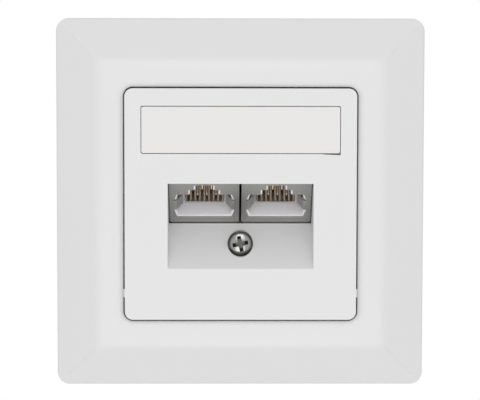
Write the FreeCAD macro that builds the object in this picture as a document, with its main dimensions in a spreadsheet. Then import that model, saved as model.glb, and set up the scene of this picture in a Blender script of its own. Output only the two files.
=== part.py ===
import FreeCAD, Part
import math
import os
import re
import Sketcher
from FreeCAD import Placement, Rotation, Vector

# A flush-mounted twin data socket with a sloping cover frame, in millimetres.
# The wall is the plane y = 0, the room lies towards -Y and +Z is up.
# The origin is the centre of the square of box screws, in the wall plane.
# The two ports face forwards and down. Their own frame has Y along the way a plug goes in
# and Z up the jack faces, from the lower edge of the jacks.

SIZES = {
    # Cover frame
    "frame_size": 80.0,
    "frame_corner": 3.0,
    "frame_edge": 3.4,
    "frame_depth": 9.5,
    "frame_wall": 2.0,
    "edge_blend": 0.55,
    "land_width": 5.2,
    "ridge_blend": 1.2,
    "opening_size": 50.5,
    "opening_corner": 2.1,
    "collar_wall": 1.6,
    "ledge_drop": 2.9,
    "ledge_thick": 1.5,
    "ledge_width": 2.0,
    # Central plate
    "plate_gap": 0.35,
    "plate_proud": 0.4,
    "plate_thick": 2.0,
    "rim_wall": 1.4,
    "nub_height": 1.75,
    "nub_rise": 5.7,
    "nub_play": 0.05,
    "nub_back": 0.4,
    # Label field
    "label_side": 3.52,
    "label_top": 3.81,
    "label_gap": 6.48,
    "label_corner": 0.4,
    "label_play": 0.1,
    "cover_thick": 1.0,
    "strip_thick": 0.2,
    "strip_margin": 0.5,
    "pry_width": 3.8,
    "pry_height": 0.45,
    # Port recess in the plate
    "recess_width": 31.35,
    "recess_top": 4.47,
    "ramp_foot": 13.88,
    "ramp_wall": 1.5,
    "recess_wall": 1.2,
    "face_gap": 0.2,
    # Centre screw and its seat
    "screw_drop": 8.85,
    "head_radius": 2.65,
    "head_height": 2.0,
    "head_play": 0.12,
    "shank_radius": 1.45,
    "shank_play": 0.25,
    "screw_reach": 8.0,
    "thread_play": 0.05,
    # Jacks
    "port_tilt": 41.0,
    "jack_width": 15.2,
    "jack_gap": 0.5,
    "jack_height": 12.7,
    "jack_share": 0.56,
    "jack_clear": 0.15,
    "sheet": 0.3,
    "sheet_bend": 0.7,
    "mouth_rise": 1.8,
    "mouth_side": 1.6,
    "crown_gap": 1.2,
    "flare_width": 0.65,
    "latch_width": 6.9,
    "latch_height": 1.4,
    "key_width": 4.5,
    "key_height": 1.4,
    "tongue_rise": 4.1,
    "tongue_height": 2.7,
    "tongue_bulge": 1.3,
    "tongue_depth": 4.4,
    # Inserts
    "insert_play": 0.05,
    "reveal": 0.35,
    "cavity_depth": 10.5,
    "tongue_play": 0.15,
    # Contact carriers
    "carrier_start": 4.2,
    "carrier_play": 0.05,
    "slot_width": 0.56,
    "slot_start": 4.6,
    "slot_floor": 0.4,
    "comb_width": 0.4,
    "comb_start": 5.2,
    "comb_height": 1.7,
    # Spring contacts
    "contact_spacing": 1.016,
    "contact_pairs": 4,
    "contact_width": 0.46,
    "contact_thick": 0.3,
    "nose_depth": 6.8,
    "nose_step": 1.6,
    "nose_round": 0.5,
    "tip_rise": 3.9,
    "tip_depth": 10.2,
    # Circuit board and terminal blocks
    "board_gap": 0.2,
    "board_thick": 1.6,
    "board_play": 0.3,
    "block_clear": 0.6,
    "block_gap": 0.6,
    "wire_count": 8,
    "wire_slot": 1.4,
    "wire_wall": 1.5,
    "floor_share": 0.245,
    "fork_thick": 0.6,
    "fork_side": 1.2,
    "tip_share": 0.175,
    "fork_slit": 0.5,
    # Cast housing
    "housing_wall": 1.6,
    "passage_play": 0.15,
    "housing_start": 0.4,
    "housing_chamfer": 2.1,
    "housing_depth": 25.0,
    "flange_width": 48.0,
    "flange_thick": 2.0,
    "flange_margin": 1.25,
    "flange_corner": 2.0,
    "plate_clear": 0.35,
    "boss_radius": 3.4,
    "ear_width": 4.4,
    "ear_height": 5.0,
    "ear_depth": 6.0,
    # Rear cover and cable clamp
    "lid_thick": 1.5,
    "cable_spacing": 16.0,
    "cable_radius": 4.2,
    "collar_length": 3.5,
    "collar_sheet": 1.2,
    "shelf_length": 9.5,
    "shelf_thick": 1.6,
    "clamp_start": 5.0,
    "clamp_width": 4.0,
    "clamp_thick": 1.2,
    "clamp_foot": 3.6,
    # Support ring
    "ring_margin": 4.5,
    "ring_corner": 6.0,
    "ring_thick": 1.2,
    "ring_play": 0.6,
    "slot_margin": 5.5,
    "box_slot_radius": 2.0,
    "box_slot_length": 6.0,
    # Small screws
    "small_head_radius": 1.7,
    "small_head_height": 1.3,
    "small_shank_radius": 1.0,
    "small_reach": 3.5,
    "small_hole_play": 0.15,
    "ring_screw_rise": 5.0,
    "cross_width": 0.11,
    "cross_span": 0.6,
    "cross_depth": 0.55,
    "crown_share": 0.35,
}

# Formulas that several pieces share, in the names above.
FRONT = "(frame_depth + plate_proud)"
PLATE_BACK = "(frame_depth + plate_proud - plate_thick)"
LEDGE = "(frame_depth - ledge_drop)"
HALF_FRAME = "(frame_size / 2)"
HALF_LAND = "(opening_size / 2 + land_width)"
HALF_OPENING = "(opening_size / 2)"
HALF_PLATE = "(opening_size / 2 - plate_gap)"
SLOPE_ANGLE = f"atan((frame_depth - frame_edge) / ({HALF_FRAME} - {HALF_LAND}))"
HALF_LABEL = f"({HALF_PLATE} - label_side)"
LABEL_TOP = f"({HALF_PLATE} - label_top)"
LABEL_LOW = "(recess_top + label_gap)"
PORT_REACH = "(plate_thick + jack_clear + jack_height * sin(port_tilt))"
PORT_Y = f"({PORT_REACH} - {FRONT})"
PORT_Z = f"({PORT_REACH} * tan(port_tilt) - ramp_foot)"
SEAT = f"({FRONT} - (ramp_foot - screw_drop) / tan(port_tilt))"
PAD_RADIUS = "(head_radius + head_play)"
JACK_MIDDLE = "((jack_width + jack_gap) / 2)"
HALF_MOUTH = "(jack_width / 2 - mouth_side)"
TONGUE_TOP = "(tongue_rise + tongue_height)"
HALF_PASSAGE = f"({JACK_MIDDLE} + jack_width / 2 + passage_play)"
HALF_HOUSING = f"({HALF_PASSAGE} + housing_wall)"
HOUSING_LOW = "(-passage_play - housing_wall)"
HOUSING_TOP = "(jack_height + passage_play + housing_wall)"
JACK_DEPTH = "(housing_depth * jack_share)"
BOARD_START = f"({JACK_DEPTH} + board_gap)"
BLOCK_START = f"({BOARD_START} + board_thick)"
BLOCK_END = "(housing_depth - block_clear)"
BLOCK_DEPTH = f"({BLOCK_END} - {BLOCK_START})"
WIRE_FLOOR = f"({BLOCK_START} + {BLOCK_DEPTH} * floor_share)"
FORK_TIP = f"({BLOCK_END} - {BLOCK_DEPTH} * tip_share)"
HALF_BOARD = f"({HALF_PASSAGE} - board_play)"
FIRST_WIRE = f"(-({HALF_BOARD} - wire_wall - wire_slot / 2))"
WIRE_SPACING = f"(-2 * {FIRST_WIRE} / (wire_count - 1))"
FIRST_CONTACT = "(-contact_spacing * (contact_pairs - 0.5))"
HALF_CARRIER = "(contact_spacing * contact_pairs + comb_width / 2)"
EAR_X = f"({HALF_HOUSING} + ear_width / 2)"
EAR_MIDDLE = f"(({HOUSING_LOW} + {HOUSING_TOP}) / 2)"
LID_BACK = "(housing_depth + lid_thick)"
SHELF_TOP = f"({HOUSING_LOW} + shelf_thick)"
CABLE_RISE = f"({SHELF_TOP} + cable_radius)"
CLAMP_SCREW_X = f"(cable_spacing / 2 + cable_radius + clamp_thick + clamp_foot / 2)"
CLAMP_MIDDLE = f"({LID_BACK} + clamp_start + clamp_width / 2)"
RING_SIZE = "(frame_size - 2 * ring_margin)"
HALF_SPACING = f"({RING_SIZE} / 2 - slot_margin)"
RING_SCREW_X = f"(({HALF_HOUSING} + ring_play + flange_width / 2) / 2)"

PLANES = {"x": "YZ_Plane", "y": "XZ_Plane", "z": "XY_Plane"}

document = FreeCAD.newDocument("data_socket")
sheet = document.addObject("Spreadsheet::Sheet", "sizes")
for row, (alias, number) in enumerate(SIZES.items(), start=1):
    sheet.set(f"A{row}", alias)
    sheet.set(f"B{row}", str(number))
    sheet.setAlias(f"B{row}", alias)
document.recompute()


def formula(text):
    """Point each name in a formula at its cell in the sheet."""
    return re.sub(r"[a-z_]+", lambda word: f"sizes.{word[0]}" if word[0] in SIZES else word[0], text)


def number_of(text):
    return float(sheet.evalExpression(formula(text)))


def mirrored(points):
    """Close an outline that is alike on both sides of the middle, from its right-hand points."""
    return points + [(f"-({across})", up) for across, up in reversed(points)]


def box(left, right, low, high):
    return [(left, low), (right, low), (right, high), (left, high)]


def in_port(depth, rise):
    """Turn a place in the ports' frame into a y and a z of the whole socket."""
    along = f"{PORT_Y} + ({depth}) * cos(port_tilt) - ({rise}) * sin(port_tilt)"
    up = f"{PORT_Z} + ({depth}) * sin(port_tilt) + ({rise}) * cos(port_tilt)"
    return along, up


def slope_z(along, rise):
    """Height at which a line along the ports' axis, a given rise up their faces, passes a given y."""
    return f"({PORT_Z} + ({along} - {PORT_Y}) * tan(port_tilt) + ({rise}) / cos(port_tilt))"


def fix(sketch, kind, element, point, text):
    """Bind one coordinate of a point of a sketch to a formula."""
    index = sketch.addConstraint(Sketcher.Constraint(kind, -1, 1, element, point, number_of(text)))
    sketch.setExpression(f"Constraints[{index}]", formula(text))


def left_of(direction, angle):
    """Turn a direction of the sketch to the left by an angle in radians."""
    return Vector(direction.x * math.cos(angle) - direction.y * math.sin(angle),
                  direction.x * math.sin(angle) + direction.y * math.cos(angle), 0)


def turning_arc(start, way, end):
    """Arc that leaves its start in a given direction, and whether it turns to the left."""
    chord = end - start
    turn = 2 * math.atan2(way.cross(chord).z, way.dot(chord))
    radius = chord.Length / (2 * math.sin(turn / 2))
    centre = start + left_of(way, math.pi / 2) * radius
    middle = centre - left_of(way, math.pi / 2 + turn / 2) * radius
    if turn > 0:
        return Part.Arc(start, middle, end), True
    return Part.Arc(end, middle, start), False


def outline(runs):
    """Closed outline of straight runs, with a tangent arc wherever the next run starts elsewhere."""
    def draw(sketch):
        first = sketch.GeometryCount
        ends = [[Vector(number_of(across), number_of(up), 0) for across, up in run] for run in runs]
        for start, end in ends:
            sketch.addGeometry(Part.LineSegment(start, end))
        for place, (start, end) in enumerate(runs):
            line = first + place
            following = (place + 1) % len(runs)
            fix(sketch, "DistanceX", line, 1, start[0])
            fix(sketch, "DistanceY", line, 1, start[1])
            if end == runs[following][0]:
                sketch.addConstraint(Sketcher.Constraint("Coincident", line, 2, first + following, 1))
                continue
            fix(sketch, "DistanceX", line, 2, end[0])
            fix(sketch, "DistanceY", line, 2, end[1])
            way = (ends[place][1] - ends[place][0]).normalize()
            curve, leftward = turning_arc(ends[place][1], way, ends[following][0])
            near, far = (1, 2) if leftward else (2, 1)
            arc = sketch.addGeometry(curve)
            sketch.addConstraint(Sketcher.Constraint("Tangent", line, 2, arc, near))
            sketch.addConstraint(Sketcher.Constraint("Coincident", arc, far, first + following, 1))
    return draw


def polygon(points):
    return outline(list(zip(points, points[1:] + points[:1])))


def circle(across, up, radius):
    def draw(sketch):
        centre = Vector(number_of(across), number_of(up), 0)
        index = sketch.addGeometry(Part.Circle(centre, Vector(0, 0, 1), number_of(radius)))
        size = sketch.addConstraint(Sketcher.Constraint("Radius", index, number_of(radius)))
        sketch.setExpression(f"Constraints[{size}]", formula(radius))
        fix(sketch, "DistanceX", index, 3, across)
        fix(sketch, "DistanceY", index, 3, up)
    return draw


def rounded(left, right, low, high, radius):
    """Outline with four straight sides and round corners."""
    inner_left = f"{left} + ({radius})"
    inner_right = f"{right} - ({radius})"
    inner_low = f"{low} + ({radius})"
    inner_high = f"{high} - ({radius})"
    return outline([
        ((inner_left, low), (inner_right, low)),
        ((right, inner_low), (right, inner_high)),
        ((inner_right, high), (inner_left, high)),
        ((left, inner_high), (left, inner_low)),
    ])


def slot_across(middle, level, half_length, radius):
    """Outline of a slot that runs across, with half-round ends."""
    run = f"({half_length} - {radius})"
    low = f"{level} - {radius}"
    high = f"{level} + {radius}"
    return outline([
        ((f"{middle} - {run}", low), (f"{middle} + {run}", low)),
        ((f"{middle} + {run}", high), (f"{middle} - {run}", high)),
    ])


def slot_upright(across, middle, half_length, radius):
    """Outline of a slot that runs up, with half-round ends."""
    run = f"({half_length} - {radius})"
    left = f"{across} - {radius}"
    right = f"{across} + {radius}"
    return outline([
        ((right, f"{middle} - {run}"), (right, f"{middle} + {run}")),
        ((left, f"{middle} + {run}"), (left, f"{middle} - {run}")),
    ])


def arch(across, radius, low, middle):
    """Outline with a flat foot, upright sides and a half-round top."""
    left = f"{across} - {radius}"
    right = f"{across} + {radius}"
    return outline([
        ((left, low), (right, low)),
        ((right, low), (right, middle)),
        ((left, middle), (left, low)),
    ])


def square(size, radius):
    return rounded(f"-({size}) / 2", f"({size}) / 2", f"-({size}) / 2", f"({size}) / 2", radius)


def new_body(name):
    body = document.addObject("PartDesign::Body", name)
    body.Label = name
    return body


def new_port_body(name, across="0", depth="0", rise="0", turn="0"):
    """Body in the ports' frame, moved in it and then turned about X by a further angle."""
    angle = f"port_tilt + {turn}"
    along, up = in_port(depth, rise)
    body = new_body(name)
    body.Placement = Placement(Vector(0, 0, 0), Rotation(Vector(1, 0, 0), number_of(angle)))
    body.setExpression("Placement.Rotation.Angle", formula(angle))
    body.setExpression("Placement.Base.x", formula(across))
    body.setExpression("Placement.Base.y", formula(along))
    body.setExpression("Placement.Base.z", formula(up))
    return body


def origin_part(body, role):
    return next(part for part in body.Origin.OriginFeatures if part.Role == role)


def sketch_at(body, name, axis, level, outlines):
    """Sketch across one axis of the body, at a level along it."""
    sketch = body.newObject("Sketcher::SketchObject", f"{body.Name}_{name}_outline")
    sketch.AttachmentSupport = (origin_part(body, PLANES[axis]), [""])
    sketch.MapMode = "FlatFace"
    offset = f"-({level})" if axis == "y" else level
    sketch.setExpression("AttachmentOffset.Base.z", formula(offset))
    for draw in outlines:
        draw(sketch)
    return sketch


def pad(body, name, axis, low, high, *outlines):
    """Add outlines drawn across an axis, from one level to another along it."""
    sketch = sketch_at(body, name, axis, high if axis == "y" else low, outlines)
    feature = body.newObject("PartDesign::Pad", f"{body.Name}_{name}")
    feature.Profile = sketch
    feature.setExpression("Length", formula(f"({high}) - ({low})"))
    body.Tip = feature
    return feature


def pocket(body, name, axis, low, high, *outlines):
    """Cut outlines drawn across an axis, from one level to another along it."""
    sketch = sketch_at(body, name, axis, low if axis == "y" else high, outlines)
    feature = body.newObject("PartDesign::Pocket", f"{body.Name}_{name}")
    feature.Profile = sketch
    feature.setExpression("Length", formula(f"({high}) - ({low})"))
    body.Tip = feature
    return feature


def pocket_in_port(body, name, depth, length, *outlines):
    """Cut outlines, drawn across the ports' axis at a depth along it, further back by a length."""
    along, up = in_port(depth, "0")
    sketch = sketch_at(body, name, "y", along, outlines)
    sketch.AttachmentOffset = Placement(Vector(0, 0, 0), Rotation(Vector(1, 0, 0), number_of("port_tilt")))
    sketch.setExpression("AttachmentOffset.Rotation.Angle", formula("port_tilt"))
    sketch.setExpression("AttachmentOffset.Base.y", formula(up))
    feature = body.newObject("PartDesign::Pocket", f"{body.Name}_{name}")
    feature.Profile = sketch
    feature.setExpression("Length", formula(length))
    body.Tip = feature
    return feature


def repeat(body, feature, axis, spacing, count):
    """Repeat a feature in a row along an axis of the body."""
    row = body.newObject("PartDesign::LinearPattern", f"{feature.Name}_row")
    row.Originals = [feature]
    row.Direction = (origin_part(body, f"{axis.upper()}_Axis"), [""])
    row.Mode = "Spacing"
    row.setExpression("Offset", formula(spacing))
    row.setExpression("Occurrences", formula(count))
    body.Tip = row
    return row


def mirror(body, features):
    """Repeat features on the other side of the body's middle."""
    twin = body.newObject("PartDesign::Mirrored", f"{features[-1].Name}_twin")
    twin.Originals = features
    twin.MirrorPlane = (origin_part(body, "YZ_Plane"), [""])
    body.Tip = twin
    return twin


def bevel_crown(body, width, level):
    """Bevel the edges of the body so far that lie in the plane at a given y."""
    document.recompute()
    base = body.Tip
    names = [f"Edge{place}" for place, edge in enumerate(base.Shape.Edges, start=1)
             if max(abs(edge.BoundBox.YMin - level), abs(edge.BoundBox.YMax - level)) < 0.001]
    feature = body.newObject("PartDesign::Chamfer", f"{body.Name}_crown")
    feature.Base = (base, names)
    feature.setExpression("Size", formula(width))
    body.Tip = feature
    return feature


def slope_cut(place):
    """Outline of what lies outside the frame's section on one side, by y and by distance from the middle."""
    along = f"sin({SLOPE_ANGLE})"
    out = f"cos({SLOPE_ANGLE})"
    return outline([(place(*start), place(*end)) for start, end in (
        (("-frame_depth", f"{HALF_LAND} - 2 * ridge_blend"), ("-frame_depth", f"{HALF_LAND} - ridge_blend")),
        ((f"-frame_depth + ridge_blend * {along}", f"{HALF_LAND} + ridge_blend * {out}"),
         (f"-frame_edge - edge_blend * {along}", f"{HALF_FRAME} - edge_blend * {out}")),
        (("-frame_edge + edge_blend", HALF_FRAME), ("-frame_edge + 2 * edge_blend", HALF_FRAME)),
        (("-frame_edge + 2 * edge_blend", HALF_FRAME), ("-frame_edge + 2 * edge_blend", "frame_size")),
        (("-frame_edge + 2 * edge_blend", "frame_size"), ("-2 * frame_depth", "frame_size")),
        (("-2 * frame_depth", "frame_size"), ("-2 * frame_depth", f"{HALF_LAND} - 2 * ridge_blend")),
        (("-2 * frame_depth", f"{HALF_LAND} - 2 * ridge_blend"),
         ("-frame_depth", f"{HALF_LAND} - 2 * ridge_blend")),
    )])


def cover_frame():
    """Hollow frame that slopes up to a flat land around its opening, with a ledge for the plate's rim."""
    body = new_body("cover_frame")
    pad(body, "block", "y", "-frame_depth", "0", square("frame_size", "frame_corner"))
    pocket(body, "upper_and_lower_slope", "x", "-frame_size", "frame_size",
           slope_cut(lambda level, out: (level, out)),
           slope_cut(lambda level, out: (level, f"-({out})")))
    pocket(body, "side_slopes", "z", "-frame_size", "frame_size",
           slope_cut(lambda level, out: (out, level)),
           slope_cut(lambda level, out: (f"-({out})", level)))
    hollow_half = f"({HALF_FRAME} - frame_wall)"
    roof_half = f"({HALF_LAND} - frame_wall / 2)"
    hollow_start = "(frame_edge - frame_wall / 2)"
    roof = "(frame_depth - frame_wall)"
    pocket(body, "hollow", "y", f"-{hollow_start}", "0",
           polygon(box(f"-{hollow_half}", hollow_half, f"-{hollow_half}", hollow_half)))
    sloping = pocket(body, "hollow_slope", "y", f"-{roof}", f"-{hollow_start}",
                     polygon(box(f"-{roof_half}", roof_half, f"-{roof_half}", roof_half)))
    hollow_run = f"({hollow_half} - {roof_half})"
    sloping.setExpression("TaperAngle", formula(f"atan({hollow_run} / ({roof} - {hollow_start}))"))
    pad(body, "collar", "y", "-(frame_depth - frame_wall / 2)", f"-({LEDGE} - ledge_thick)",
        square("opening_size + 2 * collar_wall", "opening_corner + collar_wall"))
    pocket(body, "opening", "y", "-2 * frame_depth", f"-{LEDGE}", square("opening_size", "opening_corner"))
    inside = f"({HALF_OPENING} - ledge_width)"
    pocket(body, "ledge", "y", "-frame_depth", "0", polygon(box(f"-{inside}", inside, f"-{inside}", inside)))
    return body


def central_plate():
    """Plate with a rim that seats on the frame's ledge, a label field and a sloping recess for the ports."""
    body = new_body("central_plate")
    corner = "(opening_corner - plate_gap)"
    pad(body, "plate", "y", f"-{FRONT}", f"-{LEDGE}", square(f"2 * {HALF_PLATE}", corner))
    inside = f"({HALF_PLATE} - rim_wall)"
    pocket(body, "tray", "y", f"-{PLATE_BACK}", f"-{LEDGE}",
           polygon(box(f"-{inside}", inside, f"-{inside}", inside)))
    recess_walls(body)
    screw_seat(body)
    label_field(body)
    nub_low = f"(nub_rise - nub_height / 2 - {HALF_PLATE})"
    pad(body, "nub", "y", f"-({FRONT} - nub_back)", f"-{LEDGE}", polygon(box(
        f"{HALF_PLATE} - rim_wall / 2", f"{HALF_OPENING} - nub_play", nub_low, f"{nub_low} + nub_height")))
    mirror(body, [body.Tip])
    return body


def recess_walls(body):
    """Ramp and side walls that lead from the plate's front to the jack faces."""
    half_recess = "(recess_width / 2 + recess_wall)"
    buried = f"({PLATE_BACK} + plate_thick / 2)"
    face_low = in_port("-face_gap", "-ramp_wall")
    face_top = f"({face_low[1]}) + (({face_low[0]}) + {PLATE_BACK}) / tan(port_tilt)"
    pad(body, "recess", "x", f"-{half_recess}", half_recess, polygon([
        (f"-{buried}", slope_z(f"-{buried}", "-ramp_wall")),
        face_low,
        (f"-{PLATE_BACK}", face_top),
        (f"-{buried}", face_top),
    ]))
    outside = f"({FRONT} + 1)"
    inside = in_port("face_gap", "0")
    pocket(body, "recess_space", "x", "-recess_width / 2", "recess_width / 2", polygon([
        (f"-{outside}", slope_z(f"-{outside}", "0")),
        inside,
        (f"({inside[0]}) - (recess_top - ({inside[1]})) * tan(port_tilt)", "recess_top"),
        (f"-{outside}", "recess_top"),
    ]))


def screw_seat(body):
    """Round column that stands half proud of the ramp and half sunk in it, and bears on the housing."""
    pad(body, "screw_column", "y", f"-{SEAT}", "0", circle("0", "-screw_drop", PAD_RADIUS))
    pocket(body, "head_space", "y", f"-({FRONT} + 1)", f"-{SEAT}", circle("0", "-screw_drop", PAD_RADIUS))
    pocket(body, "screw_hole", "y", f"-({SEAT} + 1)", "1",
           circle("0", "-screw_drop", "shank_radius + shank_play"))


def label_field(body):
    """Shallow field for the label and its cover, with a notch to pry the cover out."""
    floor = f"({FRONT} - cover_thick - strip_thick)"
    pocket(body, "label_field", "y", f"-({FRONT} + 1)", f"-{floor}",
           rounded(f"-{HALF_LABEL}", HALF_LABEL, LABEL_LOW, LABEL_TOP, "label_corner"))
    pocket(body, "pry_notch", "y", f"-({FRONT} + 1)", f"-{floor}", polygon(box(
        f"{HALF_LABEL} - pry_width", HALF_LABEL, f"{LABEL_LOW} - pry_height", f"{LABEL_LOW} + label_corner")))


def label_cover():
    """Flat cover that lies flush in the label field."""
    body = new_body("label_cover")
    pad(body, "sheet", "y", f"-{FRONT}", f"-({FRONT} - cover_thick)", rounded(
        f"-({HALF_LABEL} - label_play)", f"({HALF_LABEL} - label_play)",
        f"{LABEL_LOW} + label_play", f"{LABEL_TOP} - label_play", "label_corner"))
    return body


def label_strip():
    """Paper strip behind the cover."""
    body = new_body("label_strip")
    front = f"({FRONT} - cover_thick)"
    pad(body, "paper", "y", f"-{front}", f"-({front} - strip_thick)", polygon(box(
        f"-({HALF_LABEL} - strip_margin)", f"({HALF_LABEL} - strip_margin)",
        f"{LABEL_LOW} + strip_margin", f"{LABEL_TOP} - strip_margin")))
    return body


def screw_blanks(body, head_radius, head_height, shank_radius, length, places):
    """Plain screws along the body's Y, with the seats of their heads at y = 0."""
    pad(body, "shank", "y", "0", length, *[circle(across, up, shank_radius) for across, up in places])
    pad(body, "head", "y", f"-{head_height}", "0",
        *[circle(across, up, head_radius) for across, up in places])


def cross_recesses(body, head_radius, head_height, places):
    """Cut a cross into the head of each screw."""
    span = f"{head_radius} * cross_span"
    width = f"{head_radius} * cross_width"
    for name, half_across, half_up in (("slot", span, width), ("cross", width, span)):
        pocket(body, name, "y", f"-({head_height} + 1)", f"-{head_height} * (1 - cross_depth)", *[
            polygon(box(f"{across} - {half_across}", f"{across} + {half_across}",
                        f"{up} - {half_up}", f"{up} + {half_up}"))
            for across, up in places])


def plate_screw():
    """Centre screw that pulls the plate, and the frame under it, against the housing."""
    body = new_body("plate_screw")
    body.setExpression("Placement.Base.y", formula(f"-{SEAT}"))
    places = [("0", "-screw_drop")]
    screw_blanks(body, "head_radius", "head_height", "shank_radius", f"{SEAT} + screw_reach", places)
    bevel_crown(body, "head_height * crown_share", -number_of("head_height"))
    cross_recesses(body, "head_radius", "head_height", places)
    return body


def small_screws(body, length, places):
    screw_blanks(body, "small_head_radius", "small_head_height", "small_shank_radius", length, places)
    cross_recesses(body, "small_head_radius", "small_head_height", places)
    return body


def support_ring():
    """Square sheet ring on the wall that carries the housing, with a slot for each box screw."""
    body = new_body("support_ring")
    pad(body, "sheet", "y", "-ring_thick", "0", square(RING_SIZE, "ring_corner"))
    half = f"({HALF_HOUSING} + ring_play)"
    pocket(body, "window", "y", "-ring_thick", "0", rounded(
        f"-{half}", half, f"-(screw_drop + {PAD_RADIUS} + ring_play)",
        f"{slope_z('0', HOUSING_TOP)} + ring_play", "flange_corner"))
    half_slot = "box_slot_length / 2"
    middles = (HALF_SPACING, f"-{HALF_SPACING}")
    pocket(body, "side_slots", "y", "-ring_thick", "0", *[
        slot_across(middle, "0", half_slot, "box_slot_radius") for middle in middles])
    pocket(body, "end_slots", "y", "-ring_thick", "0", *[
        slot_upright("0", middle, half_slot, "box_slot_radius") for middle in middles])
    pocket(body, "screw_hole", "y", "-ring_thick", "0",
           circle(RING_SCREW_X, "ring_screw_rise", "small_shank_radius + small_hole_play"))
    mirror(body, [body.Tip])
    return body


def ring_screws():
    """Screws that hold the housing's flange to the ring, one on each side."""
    body = new_body("ring_screws")
    body.setExpression("Placement.Base.y", formula("-ring_thick"))
    return small_screws(body, "ring_thick + flange_thick", [
        (RING_SCREW_X, "ring_screw_rise"), (f"-{RING_SCREW_X}", "ring_screw_rise")])


def housing_body():
    """Cast sleeve that slopes back through the ring, with a flange, a screw boss and ears for the lid."""
    body = new_body("housing_body")
    front_rise = f"{HOUSING_TOP} - housing_chamfer * 2 / 3"
    pad(body, "sleeve", "x", f"-{HALF_HOUSING}", HALF_HOUSING, polygon([
        in_port("housing_start", HOUSING_LOW),
        in_port("housing_depth", HOUSING_LOW),
        in_port("housing_depth", HOUSING_TOP),
        in_port("housing_start + housing_chamfer", HOUSING_TOP),
        in_port("housing_start", front_rise),
    ]))
    pad(body, "ears", "x", f"-({HALF_HOUSING} + ear_width)", f"{HALF_HOUSING} + ear_width", polygon([
        in_port("housing_depth - ear_depth", f"{EAR_MIDDLE} - ear_height / 2"),
        in_port("housing_depth", f"{EAR_MIDDLE} - ear_height / 2"),
        in_port("housing_depth", f"{EAR_MIDDLE} + ear_height / 2"),
        in_port("housing_depth - ear_depth", f"{EAR_MIDDLE} + ear_height / 2"),
    ]))
    flange_low = "-(screw_drop + boss_radius + flange_margin)"
    pad(body, "flange", "y", "0", "flange_thick", rounded(
        "-flange_width / 2", "flange_width / 2", flange_low,
        f"{slope_z('flange_thick', HOUSING_TOP)} + flange_margin", "flange_corner"))
    pad(body, "boss", "y", "0", "screw_reach + flange_thick", circle("0", "-screw_drop", "boss_radius"))
    clear = "(recess_width / 2 + recess_wall + plate_clear)"
    low = "(-ramp_wall - plate_clear)"
    pocket(body, "plate_space", "x", f"-{clear}", clear, polygon([
        in_port("-jack_height", low),
        in_port("housing_start - face_gap", low),
        in_port("housing_start - face_gap", HOUSING_TOP),
        in_port("-jack_height", HOUSING_TOP),
    ]))
    pocket(body, "passage", "x", f"-{HALF_PASSAGE}", HALF_PASSAGE, polygon([
        in_port("-face_gap", "-passage_play"),
        in_port("housing_depth + 1", "-passage_play"),
        in_port("housing_depth + 1", "jack_height + passage_play"),
        in_port("-face_gap", "jack_height + passage_play"),
    ]))
    pocket(body, "screw_hole", "y", "-1", "screw_reach + flange_thick + 1",
           circle("0", "-screw_drop", "shank_radius + thread_play"))
    hole = "small_shank_radius + thread_play"
    pocket(body, "ring_holes", "y", "0", "flange_thick",
           circle(RING_SCREW_X, "ring_screw_rise", hole), circle(f"-{RING_SCREW_X}", "ring_screw_rise", hole))
    pocket_in_port(body, "ear_holes", "housing_depth - ear_depth", "ear_depth",
                   circle(EAR_X, EAR_MIDDLE, hole), circle(f"-{EAR_X}", EAR_MIDDLE, hole))
    return body


def jack_mouth(inset, waist):
    """Outline of a port: sides that flare towards a waist at the tongues, and two steps for the latch."""
    sill = f"(mouth_rise + {inset})"
    crown = f"(jack_height - crown_gap - {inset})"
    step = f"({crown} - key_height)"
    shoulder = f"({step} - latch_height)"
    side = f"({HALF_MOUTH} - {inset})"
    flare = f"({side} + flare_width)"
    latch = f"(latch_width / 2 - {inset})"
    key = f"(key_width / 2 - {inset})"
    return mirrored([
        (side, sill),
        (flare, "tongue_rise"),
        *waist,
        (flare, TONGUE_TOP),
        (side, shoulder),
        (latch, shoulder),
        (latch, step),
        (key, step),
        (key, crown),
    ])


def jack_shield(name, across):
    """Folded sheet box around one port, with a stepped mouth and a spring tongue on each side of it."""
    body = new_port_body(name, across)
    pad(body, "box", "y", "0", JACK_DEPTH,
        rounded("-jack_width / 2", "jack_width / 2", "0", "jack_height", "sheet_bend"))
    pocket(body, "inside", "y", "sheet", JACK_DEPTH, rounded(
        "-jack_width / 2 + sheet", "jack_width / 2 - sheet", "sheet", "jack_height - sheet",
        "(sheet_bend - sheet)"))
    pocket(body, "mouth", "y", "-1", "sheet", polygon(jack_mouth(
        "0", [(HALF_MOUTH, "tongue_rise"), (HALF_MOUTH, TONGUE_TOP)])))
    outer = f"({HALF_MOUTH} + sheet)"
    bulge = f"({HALF_MOUTH} - tongue_bulge)"
    middle = "(tongue_depth / 2)"
    pad(body, "tongue", "z", "tongue_rise", TONGUE_TOP, polygon([
        (HALF_MOUTH, "0"),
        (outer, "0"),
        (f"{bulge} + sheet", middle),
        (outer, "tongue_depth"),
        (HALF_MOUTH, "tongue_depth"),
        (bulge, middle),
    ]))
    mirror(body, [body.Tip])
    return body


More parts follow.
